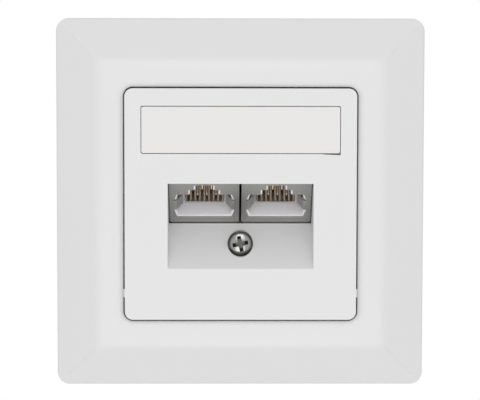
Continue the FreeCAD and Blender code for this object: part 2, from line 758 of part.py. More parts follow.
def jack_insert(name, across):
    """Plastic block in the shield, with the plug's cavity and a bay for the contact carrier."""
    body = new_port_body(name, across)
    half = "(jack_width / 2 - sheet - insert_play)"
    low = "(sheet + insert_play)"
    pad(body, "block", "y", "sheet", JACK_DEPTH, rounded(
        f"-{half}", half, low, "jack_height - sheet - insert_play", "(sheet_bend - sheet)"))
    pocket(body, "cavity", "y", "0", "cavity_depth", polygon(jack_mouth("reveal", [])))
    recess = f"({HALF_MOUTH} + flare_width + tongue_play)"
    pocket(body, "tongue_space", "z", "tongue_rise - tongue_play", f"{TONGUE_TOP} + tongue_play",
           polygon(box(f"-{recess}", recess, "0", "tongue_depth + tongue_play")))
    bay = f"({HALF_CARRIER} + carrier_play)"
    pocket(body, "carrier_bay", "y", "carrier_start - carrier_play", JACK_DEPTH,
           polygon(box(f"-{bay}", bay, "0", "mouth_rise + reveal")))
    return body


def contact_carrier(name, across):
    """Plate in the floor of the insert, with a slot for each contact and a tapered wall beside each slot."""
    body = new_port_body(name, across)
    low = "(sheet + insert_play)"
    floor = "(mouth_rise + reveal)"
    pad(body, "plate", "y", "carrier_start", JACK_DEPTH,
        polygon(box(f"-{HALF_CARRIER}", HALF_CARRIER, low, floor)))
    wall = pad(body, "wall", "x", f"-{HALF_CARRIER}", f"-{HALF_CARRIER} + comb_width", polygon([
        ("comb_start", floor),
        ("cavity_depth", f"{floor} - reveal"),
        ("cavity_depth", f"{floor} + comb_height"),
    ]))
    repeat(body, wall, "x", "contact_spacing", "contact_pairs * 2 + 1")
    slot = pocket(body, "slot", "x", f"{FIRST_CONTACT} - slot_width / 2", f"{FIRST_CONTACT} + slot_width / 2",
                  polygon(box("slot_start", f"{JACK_DEPTH} + 1", f"{low} + slot_floor", f"{floor} + 1")))
    repeat(body, slot, "x", "contact_spacing", "contact_pairs * 2")
    return body


def spring_outline(nose):
    """Side view of a contact: a tail along the floor, a nose and an arm that rises towards the back."""
    low = "(sheet + insert_play + slot_floor + thread_play)"
    tail = f"({low} + contact_thick)"
    arm = f"({tail} + contact_thick + nose_round)"
    return [
        (BOARD_START, low),
        (BOARD_START, tail),
        (f"{nose} + nose_round", tail),
        (f"{nose} + contact_thick", f"{tail} + nose_round / 2"),
        (f"{nose} + contact_thick", arm),
        ("tip_depth", "tip_rise"),
        ("tip_depth - contact_thick / 2", "tip_rise + contact_thick"),
        (nose, f"{arm} + contact_thick / 2"),
        (nose, f"{low} + nose_round / 2"),
        (f"{nose} + nose_round / 2", low),
    ]


def jack_contacts(name, across):
    """Eight spring contacts: every second one has its nose further back."""
    body = new_port_body(name, across)
    for order, nose in enumerate(("nose_depth", "(nose_depth + nose_step)")):
        middle = f"({FIRST_CONTACT} + contact_spacing * {order})"
        spring = pad(body, f"spring_{order}", "x", f"{middle} - contact_width / 2",
                     f"{middle} + contact_width / 2", polygon(spring_outline(nose)))
        repeat(body, spring, "x", "contact_spacing * 2", "contact_pairs")
    return body


def circuit_board():
    body = new_port_body("circuit_board")
    pad(body, "board", "y", BOARD_START, BLOCK_START, polygon(box(
        f"-{HALF_BOARD}", HALF_BOARD, "board_play", "jack_height - board_play")))
    return body


def block_levels(side):
    """Lower and upper height of a terminal block: side 0 is the lower block and side 1 the upper one."""
    middle = "(jack_height / 2)"
    if side == 0:
        return "board_play", f"({middle} - block_gap / 2)"
    return f"({middle} + block_gap / 2)", "(jack_height - board_play)"


def terminal_block(name, side):
    """Comb of plastic walls that guides the wires into the forked contacts."""
    body = new_port_body(name)
    low, high = block_levels(side)
    pad(body, "block", "y", BLOCK_START, BLOCK_END, polygon(box(f"-{HALF_BOARD}", HALF_BOARD, low, high)))
    slot = pocket(body, "slot", "x", f"{FIRST_WIRE} - wire_slot / 2", f"{FIRST_WIRE} + wire_slot / 2",
                  polygon(box(WIRE_FLOOR, f"{BLOCK_END} + 1", f"{low} - 1", f"{high} + 1")))
    repeat(body, slot, "x", WIRE_SPACING, "wire_count")
    return body


def forked_contacts(name, side):
    """Forked plates, one in each slot of a terminal block, that cut into the wires."""
    body = new_port_body(name)
    low, high = block_levels(side)
    middle = f"({low} + {high}) / 2"
    root = f"{WIRE_FLOOR} + ({FORK_TIP} - {WIRE_FLOOR}) / 4"
    side = "fork_thick / 2"
    fork = pad(body, "fork", "x", f"{FIRST_WIRE} - {side}", f"{FIRST_WIRE} + {side}", polygon([
        (WIRE_FLOOR, f"{low} + fork_side"),
        (FORK_TIP, f"{low} + fork_side"),
        (FORK_TIP, f"{middle} - fork_slit / 2"),
        (root, f"{middle} - fork_slit / 2"),
        (root, f"{middle} + fork_slit / 2"),
        (FORK_TIP, f"{middle} + fork_slit / 2"),
        (FORK_TIP, f"{high} - fork_side"),
        (WIRE_FLOOR, f"{high} - fork_side"),
    ]))
    repeat(body, fork, "x", WIRE_SPACING, "wire_count")
    return body


def housing_lid():
    """Lid that closes the sleeve, with two cable collars and a shelf for the clamp."""
    body = new_port_body("housing_lid")
    pad(body, "lid", "y", "housing_depth", LID_BACK,
        polygon(box(f"-{HALF_HOUSING}", HALF_HOUSING, HOUSING_LOW, HOUSING_TOP)))
    pad(body, "ears", "y", "housing_depth", LID_BACK, polygon(box(
        f"-({HALF_HOUSING} + ear_width)", f"{HALF_HOUSING} + ear_width",
        f"{EAR_MIDDLE} - ear_height / 2", f"{EAR_MIDDLE} + ear_height / 2")))
    pad(body, "shelf", "y", "housing_depth", f"{LID_BACK} + shelf_length", polygon(box(
        f"-{HALF_HOUSING}", HALF_HOUSING, HOUSING_LOW, SHELF_TOP)))
    for name, side in (("left", "-"), ("right", "")):
        pad(body, f"{name}_collar", "y", "housing_depth", f"{LID_BACK} + collar_length",
            circle(f"{side}cable_spacing / 2", CABLE_RISE, "cable_radius + collar_sheet"))
        pocket(body, f"{name}_bore", "y", "housing_depth - 1", f"{LID_BACK} + collar_length + 1",
               circle(f"{side}cable_spacing / 2", CABLE_RISE, "cable_radius"))
    hole = "small_shank_radius + small_hole_play"
    pocket(body, "ear_holes", "y", "housing_depth", LID_BACK,
           circle(EAR_X, EAR_MIDDLE, hole), circle(f"-{EAR_X}", EAR_MIDDLE, hole))
    pocket(body, "clamp_holes", "z", f"{HOUSING_LOW} - 1", f"{SHELF_TOP} + 1",
           circle(CLAMP_SCREW_X, CLAMP_MIDDLE, hole), circle(f"-{CLAMP_SCREW_X}", CLAMP_MIDDLE, hole))
    return body


def lid_screws():
    """Screws that hold the lid to the housing's ears."""
    body = new_port_body("lid_screws", depth=LID_BACK, turn="180")
    return small_screws(body, "lid_thick + small_reach",
                        [(EAR_X, f"-{EAR_MIDDLE}"), (f"-{EAR_X}", f"-{EAR_MIDDLE}")])


def cable_clamp():
    """Strip bent into two arches that hold the cables down on the shelf."""
    body = new_port_body("cable_clamp")
    start = f"({LID_BACK} + clamp_start)"
    end = f"({start} + clamp_width)"
    half = "(cable_spacing / 2 + cable_radius + clamp_thick + clamp_foot)"
    foot_top = f"{SHELF_TOP} + clamp_thick"
    pad(body, "foot", "y", start, end, polygon(box(f"-{half}", half, SHELF_TOP, foot_top)))
    for name, side in (("left", "-"), ("right", "")):
        pad(body, f"{name}_arch", "y", start, end,
            arch(f"{side}cable_spacing / 2", "(cable_radius + clamp_thick)", SHELF_TOP, CABLE_RISE))
        pocket(body, f"{name}_hollow", "y", start, end,
               arch(f"{side}cable_spacing / 2", "cable_radius", f"({SHELF_TOP} - 1)", CABLE_RISE))
    hole = "small_shank_radius + small_hole_play"
    pocket(body, "holes", "z", f"{SHELF_TOP} - 1", f"{foot_top} + 1",
           circle(CLAMP_SCREW_X, CLAMP_MIDDLE, hole), circle(f"-{CLAMP_SCREW_X}", CLAMP_MIDDLE, hole))
    return body


def clamp_screws():
    """Screws that press the clamp onto the shelf."""
    body = new_port_body("clamp_screws", rise=f"{SHELF_TOP} + clamp_thick", turn="(-90)")
    return small_screws(body, "clamp_thick + shelf_thick",
                        [(CLAMP_SCREW_X, CLAMP_MIDDLE), (f"-{CLAMP_SCREW_X}", CLAMP_MIDDLE)])


def build_all():
    """Make every piece of the socket and return the bodies."""
    bodies = [cover_frame(), central_plate(), label_cover(), label_strip(), plate_screw(), support_ring(),
              ring_screws(), housing_body(), circuit_board(), housing_lid(), lid_screws(), cable_clamp(),
              clamp_screws()]
    for name, across in (("left", f"-{JACK_MIDDLE}"), ("right", JACK_MIDDLE)):
        bodies.append(jack_shield(f"{name}_jack_shield", across))
        bodies.append(jack_insert(f"{name}_jack_insert", across))
        bodies.append(contact_carrier(f"{name}_contact_carrier", across))
        bodies.append(jack_contacts(f"{name}_jack_contacts", across))
    for side, name in enumerate(("lower", "upper")):
        bodies.append(terminal_block(f"{name}_terminal_block", side))
        bodies.append(forked_contacts(f"{name}_forked_contacts", side))
    return bodies


def check_all(bodies):
    """Stop if a feature failed, a pocket cut nothing or a piece has no sound shape."""
    for item in document.Objects:
        if "Invalid" in item.State or "Error" in item.State:
            raise RuntimeError(f"{item.Name} failed: {item.State}")
        if item.TypeId == "PartDesign::Pocket":
            before = item.BaseFeature.Shape.Volume
            if item.Shape.Volume > before - 0.001:
                raise RuntimeError(f"{item.Name} cut nothing")
    for body in bodies:
        if body.Shape.isNull() or not body.Shape.isValid():
            raise RuntimeError(f"{body.Label} has no sound shape")


def write_all(bodies):
    os.makedirs("parts", exist_ok=True)
    for body in bodies:
        body.Shape.exportStep(f"parts/{body.Label}.step")
        print(f"{body.Label}: {len(body.Shape.Solids)} solids, {body.Shape.Volume:.1f} mm3")


pieces = build_all()
document.recompute()
check_all(pieces)
write_all(pieces)
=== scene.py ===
"""Finishes, fine detail and studio for a flush-mounted twin data socket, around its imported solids."""

import math

import bmesh
import bpy
from bpy.props import FloatProperty, FloatVectorProperty, PointerProperty
from mathutils import Matrix, Quaternion, Vector


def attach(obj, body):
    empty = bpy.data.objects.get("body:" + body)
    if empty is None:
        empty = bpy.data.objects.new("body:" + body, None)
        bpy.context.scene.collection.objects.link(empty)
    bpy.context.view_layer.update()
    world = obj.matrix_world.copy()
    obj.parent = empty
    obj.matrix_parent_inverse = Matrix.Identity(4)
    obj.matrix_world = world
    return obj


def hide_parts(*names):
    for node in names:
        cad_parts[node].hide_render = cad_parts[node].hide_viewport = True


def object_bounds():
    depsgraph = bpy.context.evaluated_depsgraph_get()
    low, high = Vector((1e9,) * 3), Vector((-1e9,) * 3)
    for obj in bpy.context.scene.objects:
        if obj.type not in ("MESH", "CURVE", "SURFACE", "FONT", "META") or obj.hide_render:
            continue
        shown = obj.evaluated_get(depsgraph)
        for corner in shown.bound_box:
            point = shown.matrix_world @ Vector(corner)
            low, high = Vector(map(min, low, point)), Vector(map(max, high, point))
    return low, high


bl_info = {
    "name": "Data socket finishes",
    "version": (1, 0, 0),
    "blender": (4, 5, 0),
    "location": "3D View > Sidebar > Socket",
    "description": "Dresses the pieces of a twin data socket and sets up its studio",
    "category": "Object",
}

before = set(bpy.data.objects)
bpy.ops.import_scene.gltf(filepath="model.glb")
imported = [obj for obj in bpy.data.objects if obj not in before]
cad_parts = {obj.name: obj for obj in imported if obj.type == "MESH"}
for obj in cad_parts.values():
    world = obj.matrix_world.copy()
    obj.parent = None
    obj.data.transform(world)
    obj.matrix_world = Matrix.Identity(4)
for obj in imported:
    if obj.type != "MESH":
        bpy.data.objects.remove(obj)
CAD_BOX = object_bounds()
BODY = "root"
MM = 0.001

# Places and sizes that the solids fix, in millimetres and degrees. A port's frame has its origin at the foot
# of the port's face, and runs across, then in depth along the plug's way in, then up the face.
PORT_TILT = 41.0
PORT_AT = (0.58195, -4.76818)
PORT_MIDDLE = 7.85
PORTS = (("left", -PORT_MIDDLE), ("right", PORT_MIDDLE))
CAVITY_DEPTH = 10.5

# How near a corner of a solid has to be to a place to count as the one there, in millimetres.
NEAR = 0.02

# Contacts: how far apart they are, their section, and the depths and rises of their bends in the port.
CONTACT_SPACING = 1.016
CONTACTS_IN_PORT = 8
CONTACT_WIDTH = 0.44
CONTACT_THICKNESS = 0.28
CONTACT_UPRIGHTS = (6.95, 8.55)
CONTACT_BACK = 14.15
CONTACT_LOW = 0.95
CONTACT_KNEE = 1.92
CONTACT_TIP = (10.12, 4.02)

# Corners of an insert's cavity at the steps for the latch, as away from the port's middle and rise.
SHOULDER = (5.65, 8.35)
STEP_CORNERS = ((3.1, 8.35), (3.1, 9.75), (1.9, 9.75), (1.9, 11.15))
STEP_SHIFT = 0.3

# Lips at the sides of the steps: where their edge, foot and top are, and the section of one.
LIPS = ((2.25, 10.2, 11.4), (3.45, 8.8, 10.0))
LIP_WIDTH = 0.34
LIP_FRONT = 0.02
LIP_SLOPE_END = 0.2
LIP_BACK = 0.32

# Field for the label, its corners, and by how much the line round its cover is widened.
FIELD_SIDE = 21.38
FIELD_TOP = 21.09
FIELD_LOW = 10.95
FIELD_CORNER = 0.42
FIELD_WIDER = 0.07

# Notch in the plate to pry the label's cover out by, and how far its lower edge rises at each end. Its floor,
# left end and top also bound the painted shade in it.
NOTCH_FLOOR = -8.7
NOTCH_TOP = 10.96
NOTCH_LOW = 10.5
NOTCH_LEFT = 17.5
NOTCH_MIDDLE = 19.0
NOTCH_RISE_LEFT = 0.33
NOTCH_RISE_RIGHT = 0.14

# Screws: places in the plane of their heads, seats, and how far they reach.
PLATE_SCREW = (0.0, -8.85)
SCREW_SEAT = 4.113647
PLATE_SCREW_REACH = SCREW_SEAT + 7.98
RING_SCREW = (20.9, 5.0)
RING_SCREW_REACH = 3.18
RING_FRONT = -1.2
LID_SCREW = (19.4, -6.35)
LID_SCREW_REACH = 4.98
LID_FACE = 26.5
CLAMP_SCREW = (15.2, 33.5)
CLAMP_SCREW_REACH = 2.78
CLAMP_FACE = 1.05
CENTRE_SCREW_SIZE = {"head": 2.76, "rise": 1.98, "shank": 1.44, "pitch": 0.9, "threaded_from": 4.4}
SMALL_SCREW_SIZE = {"head": 1.68, "rise": 1.28, "shank": 0.99, "pitch": 0.5, "threaded_from": 0.3}
# Radii on the centre screw's head between which its colour falls off: a painted dark reflection at its rim.
PAINTED_RIM_REFLECTION = (1.9, 2.5)

# Head of a screw: its crown as a share of its radius, and the drops of crown and brim as shares of its rise.
CROWN_RADIUS = 0.93
CROWN_DROP = 0.42
BRIM_DROP = 0.12

# Turned part of a screw: where it begins below the seat, its rings in each pitch, its spokes, and how deep
# the thread is as a share of the pitch.
TURNED_FROM = 0.05
THREAD_RINGS = 8
SPOKES = 48
THREAD_DEPTH = 0.22

# Cross recess: its reach and half width as shares of the head's radius, its depth as a share of the head's
# rise, how far above the head its cutter starts, and how wide the cutter is there and at the recess's floor.
CROSS_REACH = 0.6
CROSS_HALF_WIDTH = 0.15
CROSS_DEPTH = 0.62
CUT_ABOVE = 0.4
CUT_TOP = 1.3
CUT_FLOOR = 0.6

# Band near the frame's outer edge over which the soft shading of its ridges ends.
SOFT_SHADING_END = (37.5, 38.5)


def colour(name, description, default):
    return FloatVectorProperty(name=name, description=description, subtype="COLOR", size=3, min=0, max=1,
                               default=default)


def length(name, description, default):
    return FloatProperty(name=name, description=description, subtype="DISTANCE", unit="LENGTH", min=0,
                         precision=5, default=default)


class SocketColours(bpy.types.PropertyGroup):
    """Colours of the socket, in linear light"""

    plastic: colour("Plastic", "Moulded frame and plate", (0.748, 0.748, 0.751))
    label: colour("Label", "Paper strip and its flat cover", (0.785, 0.775, 0.76))
    insert: colour("Insert", "Plastic inside the ports", (0.94, 0.93, 0.945))
    # The carriers are the inserts' white plastic; this darker brown is painted shade and a painted reflection
    # of the gold contacts.
    carrier: colour("Carriers", "Plastic that holds the contacts", (0.63, 0.54, 0.45))
    shield: colour("Shield", "Folded sheet around the ports", (0.4, 0.395, 0.38))
    gold: colour("Contacts", "Plated springs", (0.66, 0.50, 0.36))
    screw: colour("Screw", "Plated steel screws", (0.3, 0.298, 0.29))
    ring: colour("Ring", "Zinc-coated sheet", (0.52, 0.54, 0.56))
    casting: colour("Casting", "Cast housing", (0.36, 0.36, 0.37))
    board: colour("Board", "Circuit board", (0.02, 0.12, 0.04))
    block: colour("Blocks", "Terminal blocks", (0.6, 0.6, 0.58))
    ground: colour("Ground", "Studio floor and background", (0.9, 0.9, 0.9))


class SocketSizes(bpy.types.PropertyGroup):
    """Sizes of what is added to the solids"""

    frame_edge: length("Frame edge", "Rounding of the cover frame's sharp edges", 0.35 * MM)
    plastic_edge: length("Plastic edge", "Rounding of the plastic's sharp edges", 0.12 * MM)
    mitre_softness: length("Mitre softness", "Radius over which the frame's ridges shade softly", 2.4 * MM)
    label_edge: length("Label edge", "Rounding of the label cover's edge", 0.32 * MM)
    sheet_edge: length("Sheet edge", "Rounding of the sheet's cut edges", 0.05 * MM)
    cast_edge: length("Cast edge", "Rounding of the casting's edges", 0.3 * MM)
    contact_bend: length("Contact bend", "Inner line of the bends in a contact", 0.42 * MM)
    contact_edge: length("Contact edge", "Rounding of a contact's section", 0.08 * MM)
    camera_distance: length("Camera distance", "From the lens to the middle of the plate", 0.4)
    camera_azimuth: FloatProperty(name="Camera azimuth", description="Turn to the right, in degrees",
                                  default=-0.7)
    camera_elevation: FloatProperty(name="Camera elevation", description="Height angle, in degrees",
                                    default=4.15)
    camera_roll: FloatProperty(name="Camera roll", description="Lean to the left, in degrees", default=0.1)
    aim_across: FloatProperty(name="Aim across", description="Middle of the view, in millimetres",
                              default=-0.14)
    aim_up: FloatProperty(name="Aim up", description="Middle of the view, in millimetres", default=1.0)
    lens: FloatProperty(name="Lens", description="Focal length, in millimetres", default=139.8)
    even_light: FloatProperty(name="Even light", description="Strength of the light from all round",
                              min=0, default=0.69)
    front_light: FloatProperty(name="Front light", description="Power of the soft box in front, in watts",
                               min=0, default=1.1)
    box_distance: length("Box distance", "From the soft box to the plate", 0.7)
    box_size: length("Box size", "Width and height of the soft box", 0.42)
    box_elevation: FloatProperty(name="Box elevation", description="Height angle, in degrees", default=28.0)
    low_light: FloatProperty(name="Low light", description="Power of the soft light from below, in watts",
                             min=0, default=1.1)
    low_elevation: FloatProperty(name="Low elevation", description="Height angle, in degrees", default=-32.0)
    floor_half: length("Floor half", "Half the width of the studio's floor", 1.5)
    floor_drop: length("Floor drop", "From the lowest solid down to the floor", 0.45)


def sizes():
    return bpy.context.scene.socket_sizes


def colours():
    return bpy.context.scene.socket_colours


def closed_mesh(build, name):
    """Mesh of a closed shape that was built face by face, with its normals turned outwards."""
    bmesh.ops.recalc_face_normals(build, faces=build.faces)
    mesh = bpy.data.meshes.new(name)
    build.to_mesh(mesh)
    build.free()
    return mesh


def linked(name, data):
    """New object in the scene, made from a mesh, a light or a camera."""
    item = bpy.data.objects.new(name, data)
    bpy.context.scene.collection.objects.link(item)
    return item


def shade_smooth(mesh, angle):
    """Shade a mesh smoothly, but for edges sharper than an angle in degrees."""
    for polygon in mesh.polygons:
        polygon.use_smooth = True
    mesh.set_sharp_from_angle(angle=math.radians(angle))


def dimmed(base, share):
    return [part * share for part in base]


class Nodes:
    """Small helper that adds and joins the nodes of one tree."""

    def __init__(self, tree, keep=False):
        self.tree = tree
        if not keep:
            self.tree.nodes.clear()

    def add(self, kind, inputs=None, **settings):
        node = self.tree.nodes.new(kind)
        for name, setting in settings.items():
            setattr(node, name, setting)
        for name, source in (inputs or {}).items():
            self.feed(node.inputs[name], source)
        return node

    def feed(self, socket, source):
        if isinstance(source, bpy.types.NodeSocket):
            self.tree.links.new(source, socket)
        else:
            socket.default_value = source


def softened_ridges(nodes, place, radius):
    """Normals that turn slowly over the ridges of the frame, but stay as they are near its outer edge."""
    soft = nodes.add("ShaderNodeBevel", {"Radius": radius}, samples=8).outputs["Normal"]
    plain = nodes.add("ShaderNodeNewGeometry").outputs["Normal"]
    apart = nodes.add("ShaderNodeVectorMath", {0: place}, operation="ABSOLUTE").outputs["Vector"]
    parts = nodes.add("ShaderNodeSeparateXYZ", {"Vector": apart}).outputs
    away = nodes.add("ShaderNodeMath", {0: parts["X"], 1: parts["Z"]}, operation="MAXIMUM").outputs["Value"]
    share = nodes.add("ShaderNodeMapRange", {
        "Value": away, "From Min": SOFT_SHADING_END[0] * MM, "From Max": SOFT_SHADING_END[1] * MM,
        "To Min": 1.0, "To Max": 0.0})
    mixed = nodes.add("ShaderNodeMixRGB", {"Fac": share.outputs["Result"], "Color1": plain, "Color2": soft})
    even = nodes.add("ShaderNodeVectorMath", {0: mixed.outputs["Color"]}, operation="NORMALIZE")
    return even.outputs["Vector"]


def surface(name, base, roughness, metallic=0.0, mottle=0.02, grain=900.0, bump=0.02, soften=0.0, **shader):
    """Material whose colour and roughness vary a little, with a fine grain and edges that shade softly."""
    material = bpy.data.materials.new(name)
    material.use_nodes = True
    nodes = Nodes(material.node_tree)
    place = nodes.add("ShaderNodeTexCoord").outputs["Object"]
    cloud = nodes.add("ShaderNodeTexNoise", {"Vector": place, "Scale": grain / 12, "Detail": 3.0})
    fine = nodes.add("ShaderNodeTexNoise", {"Vector": place, "Scale": grain, "Detail": 2.0})
    low = [max(0.0, part * (1 - mottle)) for part in base] + [1.0]
    high = [min(1.0, part * (1 + mottle)) for part in base] + [1.0]
    tint = nodes.add("ShaderNodeMixRGB", {"Fac": cloud.outputs["Fac"], "Color1": low, "Color2": high})
    gloss = nodes.add("ShaderNodeMapRange", {
        "Value": cloud.outputs["Fac"], "To Min": roughness * 0.9, "To Max": min(1.0, roughness * 1.1)})
    relief = nodes.add("ShaderNodeBump", {
        "Height": fine.outputs["Fac"], "Strength": bump, "Distance": 0.05 * MM})
    if soften > 0:
        nodes.feed(relief.inputs["Normal"], softened_ridges(nodes, place, soften))
    principled = nodes.add("ShaderNodeBsdfPrincipled", {
        "Base Color": tint.outputs["Color"], "Roughness": gloss.outputs["Result"],
        "Normal": relief.outputs["Normal"], "Metallic": metallic, **shader})
    nodes.add("ShaderNodeOutputMaterial", {"Surface": principled.outputs["BSDF"]})
    return material


def dressed(node, material, edge, slot, segments=2, angle=28.0, reshape=None):
    """Copy of a solid with its sharp edges rounded and a finished material, reshaped first if asked."""
    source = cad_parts[node]
    mesh = source.data.copy()
    piece = linked(f"{node}_finish", mesh)
    build = bmesh.new()
    build.from_mesh(mesh)
    bmesh.ops.remove_doubles(build, verts=build.verts, dist=0.0005 * MM)
    for face in build.faces:
        face.smooth = True
    if reshape is not None:
        for vertex in build.verts:
            vertex.co = reshape(vertex.co)
    build.to_mesh(mesh)
    build.free()
    mesh.materials.clear()
    mesh.materials.append(material)
    if edge > 0:
        bevel = piece.modifiers.new("edges", "BEVEL")
        bevel.width = edge
        bevel.segments = segments
        bevel.limit_method = "ANGLE"
        bevel.angle_limit = math.radians(angle)
        bevel.use_clamp_overlap = True
        bevel.miter_outer = "MITER_ARC"
    weighted = piece.modifiers.new("shading", "WEIGHTED_NORMAL")
    weighted.keep_sharp = True
    settle(piece, slot, node)
    return piece


def settle(piece, slot, *replaced):
    """Let a finished piece ride with the socket and stand for the solids it replaces."""
    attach(piece, BODY)
    if replaced:
        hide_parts(*replaced)


class SocketOperator(bpy.types.Operator):
    """Base of the operators that dress the socket"""

    bl_options = {"REGISTER", "UNDO"}

    def execute(self, context):
        self.make(context)
        return {"FINISHED"}


class SOCKET_OT_plastic(SocketOperator):
    """Finish the cover frame and the central plate"""

    bl_idname = "socket.plastic"
    bl_label = "Frame and plate"

    def make(self, context):
        plastic = surface("moulded_plastic", colours().plastic, 0.42, mottle=0.006, bump=0.03)
        frame_plastic = surface("frame_plastic", colours().plastic, 0.42, mottle=0.006, bump=0.03,
                                soften=sizes().mitre_softness)
        dressed("cover_frame", frame_plastic, sizes().frame_edge, "cover_plastic", segments=3)
        plate = dressed("central_plate", plastic, sizes().plastic_edge, "cover_plastic",
                        reshape=self.clearer_field)
        # Painted shade: the notch's floor and walls get a near-black copy of the plastic.
        shade = surface("notch_painted_shade", dimmed(colours().plastic, 0.1), 0.6)
        plate.data.materials.append(shade)
        for polygon in plate.data.polygons:
            at = polygon.center / MM
            sunk = abs(at.y - NOTCH_FLOOR) < NEAR or abs(polygon.normal.y) < 0.5
            if sunk and at.x > NOTCH_LEFT and NOTCH_LOW < at.z < NOTCH_TOP:
                polygon.material_index = 1

    def clearer_field(self, place):
        """Widen the line round the label's cover a little, and thin the notch towards its left end."""
        across, back, up = place / MM
        if abs(across) > FIELD_SIDE + NEAR or not NOTCH_LOW - NEAR < up < FIELD_TOP + NEAR:
            return place
        if up > FIELD_TOP - FIELD_CORNER:
            up += FIELD_WIDER
        elif abs(up - NOTCH_LOW) < NEAR:
            up += NOTCH_RISE_LEFT if across < NOTCH_MIDDLE else NOTCH_RISE_RIGHT
        elif up < FIELD_LOW + FIELD_CORNER:
            up -= FIELD_WIDER
        if abs(across) > FIELD_SIDE - FIELD_CORNER:
            across += math.copysign(FIELD_WIDER, across)
        return Vector((across, back, up)) * MM


class SOCKET_OT_label(SocketOperator):
    """Finish the label strip and its flat cover"""

    bl_idname = "socket.label"
    bl_label = "Label field"

    def make(self, context):
        cover = surface("label_cover", colours().label, 0.22, mottle=0.004, bump=0.01)
        paper = surface("label_paper", colours().label, 0.8, mottle=0.02, grain=3000.0, bump=0.3)
        dressed("label_cover", cover, sizes().label_edge, "label_plastic", segments=3)
        dressed("label_strip", paper, 0.0, "label_paper")


def in_port(across, depth, rise):
    """Place in the whole socket of a place in one port's frame, all in millimetres."""
    tilt = math.radians(PORT_TILT)
    return Vector((across, PORT_AT[0] + depth * math.cos(tilt) - rise * math.sin(tilt),
                   PORT_AT[1] + depth * math.sin(tilt) + rise * math.cos(tilt))) * MM


def wider_steps(middle):
    """Function that moves the corners of one cavity's latch steps out to the edge of the shield's mouth."""
    tilt = math.radians(PORT_TILT)

    def reshape(place):
        across, back, up = place / MM
        back -= PORT_AT[0]
        up -= PORT_AT[1]
        depth = back * math.cos(tilt) + up * math.sin(tilt)
        rise = up * math.cos(tilt) - back * math.sin(tilt)
        away = abs(across - middle)
        for corner in (SHOULDER, *STEP_CORNERS):
            if depth < CAVITY_DEPTH + NEAR and math.dist((away, rise), corner) < NEAR:
                wider = corner[0] if corner is SHOULDER else corner[0] + STEP_SHIFT
                return in_port(middle + math.copysign(wider, across - middle), depth, corner[1] + STEP_SHIFT)
        return place
    return reshape


class SOCKET_OT_ports(SocketOperator):
    """Finish the shields and the plastic inserts of both ports"""

    bl_idname = "socket.ports"
    bl_label = "Ports"

    def make(self, context):
        shield = surface("shield_sheet", colours().shield, 0.38, metallic=1.0, mottle=0.05, bump=0.05)
        insert = surface("insert_plastic", colours().insert, 0.4, mottle=0.02)
        # Painted shade and painted gold reflection on the carriers, which are the inserts' white plastic.
        carrier = surface("carrier_painted_shade", colours().carrier, 0.5, mottle=0.05)
        for side, middle in PORTS:
            dressed(f"{side}_jack_shield", shield, sizes().sheet_edge, "shield_sheet")
            dressed(f"{side}_jack_insert", insert, sizes().plastic_edge, "insert_plastic",
                    reshape=wider_steps(middle))
            dressed(f"{side}_contact_carrier", carrier, 0.0, "insert_plastic")
            self.lips(side, middle, insert)

    def lips(self, side, middle, material):
        """Sloping lips of the insert that show at the sides of the latch steps."""
        build = bmesh.new()
        for hand in (-1, 1):
            for edge, low, high in LIPS:
                section = ((edge, LIP_FRONT), (edge - LIP_WIDTH, LIP_SLOPE_END), (edge - LIP_WIDTH, LIP_BACK),
                           (edge, LIP_BACK))
                corners = [[build.verts.new(in_port(middle + hand * across, depth, rise))
                            for across, depth in section] for rise in (low, high)]
                build.faces.new(corners[0])
                build.faces.new(corners[1])
                for place in range(4):
                    after = (place + 1) % 4
                    build.faces.new((corners[0][place], corners[0][after], corners[1][after],
                                     corners[1][place]))
        mesh = closed_mesh(build, f"{side}_insert_lips")
        mesh.materials.append(material)
        settle(linked(f"{side}_insert_lips", mesh), "insert_plastic")


